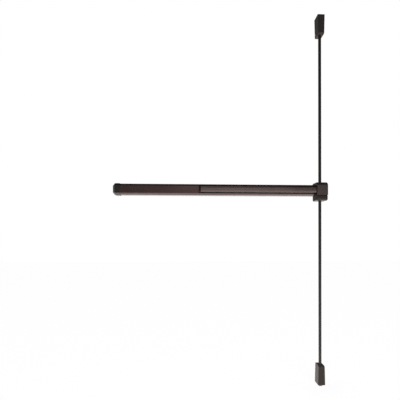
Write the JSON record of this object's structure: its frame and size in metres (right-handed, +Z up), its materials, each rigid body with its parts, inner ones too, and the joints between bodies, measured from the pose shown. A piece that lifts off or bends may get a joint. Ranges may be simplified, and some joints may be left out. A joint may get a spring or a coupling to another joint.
{
  "type": "surface vertical rod exit device",
  "caption": "Exit device for a door: pressing a touchbar on a full-width rail works cranks in a centre case that draw vertical rods, an upper latch bolt and a floor bolt.",
  "frame": {"origin": "on the door face, at the middle of the rail's height and on the rods' axis, at the centre case's base plate", "axes": "+Z up along the rods, -Y out of the door towards the person who pushes, +X away from the rail's end cap"},
  "size_m": [1.2137, 0.072, 2.1425],
  "materials": {
    "dark_bronze": "dark bronze anodised",
    "rod_bronze": "dark bronze plated",
    "zinc_steel": "zinc plated",
    "spring_steel": "bright wire",
    "dark_plastic": "moulded",
    "black_nylon": "moulded"
  },
  "bodies": {
    "frame": {"rail_channel": "dark_bronze", "rail_filler": "dark_bronze", "bracket_screw_upper": "zinc_steel", "bracket_screw_lower": "zinc_steel", "rail_screw_upper": "zinc_steel", "rail_screw_lower": "zinc_steel", "end_cap": "dark_plastic", "end_bracket": "zinc_steel", "end_cap_screw": "zinc_steel", "case_cover": "dark_bronze", "case_base_plate": "zinc_steel", "cover_screw_upper": "zinc_steel", "cover_screw_lower": "zinc_steel", "crank_bracket_left": "zinc_steel", "crank_pin_left": "zinc_steel", "crank_bracket_right": "zinc_steel", "crank_pin_right": "zinc_steel", "actuator_guide": "zinc_steel", "spring_anchor": "zinc_steel", "actuator_spring": "spring_steel", "lift_crank_pin_upper": "zinc_steel", "lift_crank_pin_lower": "zinc_steel", "top_latch_case": "dark_bronze", "top_latch_plate": "zinc_steel", "top_latch_screw_left": "zinc_steel", "top_latch_screw_right": "zinc_steel", "top_rod_bush": "black_nylon", "top_latch_pin": "zinc_steel", "top_latch_spring": "spring_steel", "bottom_latch_case": "dark_bronze", "bottom_latch_plate": "zinc_steel", "bottom_latch_screw_left": "zinc_steel", "bottom_latch_screw_right": "zinc_steel", "bottom_rod_bush": "black_nylon", "bottom_bolt_guide": "black_nylon", "bottom_latch_spring": "spring_steel"},
    "touchbar": {"touchbar": "dark_bronze", "touchbar_plug_left": "dark_plastic", "touchbar_plug_right": "dark_plastic", "touchbar_link_left": "zinc_steel", "touchbar_link_right": "zinc_steel"},
    "bell_crank_left": {"bell_crank_left": "zinc_steel"},
    "bell_crank_right": {"bell_crank_right": "zinc_steel"},
    "actuator_bar": {"actuator_bar": "zinc_steel"},
    "lift_crank_upper": {"lift_crank_upper": "zinc_steel"},
    "lift_crank_lower": {"lift_crank_lower": "zinc_steel"},
    "top_rod": {"lifter_upper": "zinc_steel", "top_rod": "rod_bronze", "lock_nut_top": "zinc_steel", "rod_fork": "zinc_steel"},
    "bottom_rod": {"lifter_lower": "zinc_steel", "bottom_rod": "rod_bronze", "lock_nut_bottom": "zinc_steel", "bottom_bolt": "zinc_steel"},
    "top_latch_bolt": {"top_latch_bolt": "zinc_steel"}
  },
  "joints": [
    {"name": "touchbar_press", "type": "slide", "parent": "frame", "child": "touchbar", "axis": [0, 1, 0], "range_m": [0, 0.017], "stiffness_N_per_m": 1500, "springref_m": -0.012},
    {"name": "bell_crank_left_turn", "type": "hinge", "parent": "frame", "child": "bell_crank_left", "pos_m": [-0.6, -0.026, 0], "axis": [0, 0, 1], "range_deg": [0, 41.48]},
    {"name": "bell_crank_right_turn", "type": "hinge", "parent": "frame", "child": "bell_crank_right", "pos_m": [-0.11, -0.026, 0], "axis": [0, 0, 1], "range_deg": [0, 41.48]},
    {"name": "actuator_pull", "type": "slide", "parent": "frame", "child": "actuator_bar", "axis": [-1, 0, 0], "range_m": [0, 0.01134], "deforming": ["actuator_spring"]},
    {"name": "lift_crank_upper_turn", "type": "hinge", "parent": "frame", "child": "lift_crank_upper", "pos_m": [-0.01694, 0, 0.02], "axis": [0, 1, 0], "range_deg": [0, 41.48]},
    {"name": "lift_crank_lower_turn", "type": "hinge", "parent": "frame", "child": "lift_crank_lower", "pos_m": [-0.01694, 0, -0.02], "axis": [0, -1, 0], "range_deg": [0, 41.48]},
    {"name": "top_rod_draw", "type": "slide", "parent": "frame", "child": "top_rod", "axis": [0, 0, -1], "range_m": [0, 0.012], "deforming": ["top_latch_spring"]},
    {"name": "bottom_rod_draw", "type": "slide", "parent": "frame", "child": "bottom_rod", "axis": [0, 0, 1], "range_m": [0, 0.012], "deforming": ["bottom_latch_spring"]},
    {"name": "top_latch_swing", "type": "hinge", "parent": "frame", "child": "top_latch_bolt", "pos_m": [0, -0.01006, 0.965], "axis": [1, 0, 0], "range_deg": [0, 41.48]}
  ],
  "couplings": [
    {"joint": "bell_crank_left_turn", "follows": "touchbar_press", "rad_per_m": 42.591},
    {"joint": "bell_crank_right_turn", "follows": "touchbar_press", "rad_per_m": 42.591},
    {"joint": "actuator_pull", "follows": "touchbar_press", "ratio": 0.66666},
    {"joint": "lift_crank_upper_turn", "follows": "touchbar_press", "rad_per_m": 42.591},
    {"joint": "lift_crank_lower_turn", "follows": "touchbar_press", "rad_per_m": 42.591},
    {"joint": "top_rod_draw", "follows": "touchbar_press", "ratio": 0.70588},
    {"joint": "bottom_rod_draw", "follows": "touchbar_press", "ratio": 0.70588},
    {"joint": "top_latch_swing", "follows": "touchbar_press", "rad_per_m": 42.591}
  ]
}
